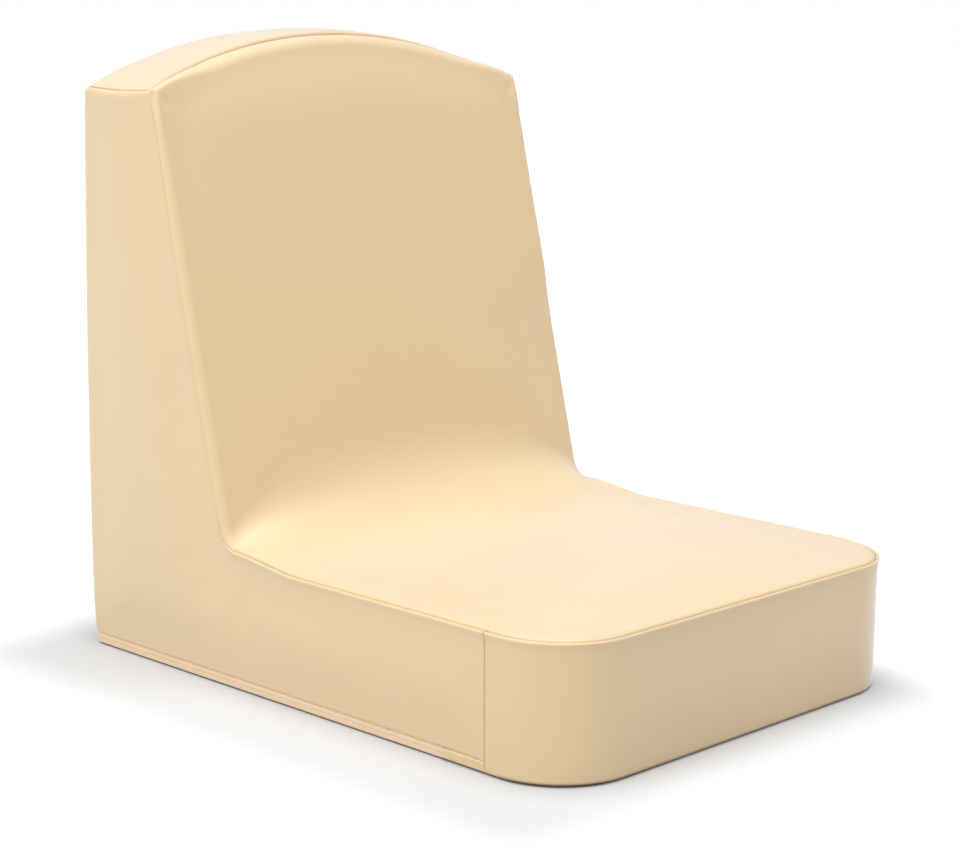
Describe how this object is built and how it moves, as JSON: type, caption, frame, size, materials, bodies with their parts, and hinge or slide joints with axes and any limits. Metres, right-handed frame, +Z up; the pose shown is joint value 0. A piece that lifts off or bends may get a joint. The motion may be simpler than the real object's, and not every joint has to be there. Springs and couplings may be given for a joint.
{
  "type": "baby floor seat",
  "caption": "Soft foam floor seat for a small child: flat seat and leaning arched backrest in one sewn leatherette cover with a hidden zip round the base.",
  "frame": {"origin": "centre of the box's footprint on the floor, under the seat", "axes": "+Z up, +Y towards the rear of the seat, so the sitter looks along -Y, and +X towards the sitter's left"},
  "size_m": [0.34, 0.45, 0.418],
  "materials": {
    "leatherette": "satin",
    "foam": "matte",
    "base_fabric": "matte",
    "tape": "matte",
    "coil": "satin",
    "patch": "satin",
    "metal": "satin"
  },
  "bodies": {
    "seat": {"seat_foam": "foam", "back_foam": "foam", "front_cover_panel": "leatherette", "left_side_panel": "leatherette", "right_side_panel": "leatherette", "front_band": "leatherette", "top_gusset": "leatherette", "rear_panel": "leatherette", "base_panel": "base_fabric", "upper_zip_tape": "tape", "lower_zip_tape": "tape", "upper_zip_coil": "coil", "lower_zip_coil": "coil", "zip_top_stops": "metal", "zip_bottom_stop": "metal", "left_zip_end_patch": "patch", "right_zip_end_patch": "patch"},
    "slider": {"zip_slider": "metal"},
    "pull": {"zip_pull": "metal"}
  },
  "joints": [
    {"name": "zip_slide", "type": "slide", "parent": "seat", "child": "slider", "axis": [0, 1, 0], "range_m": [0, 0.32], "deforming": ["upper_zip_tape", "lower_zip_tape", "upper_zip_coil", "lower_zip_coil"]},
    {"name": "pull_swing", "type": "hinge", "parent": "slider", "child": "pull", "pos_m": [0.16622, -0.1189, 0.00475], "axis": [0, 0, 1], "range_deg": [0, 176]}
  ]
}
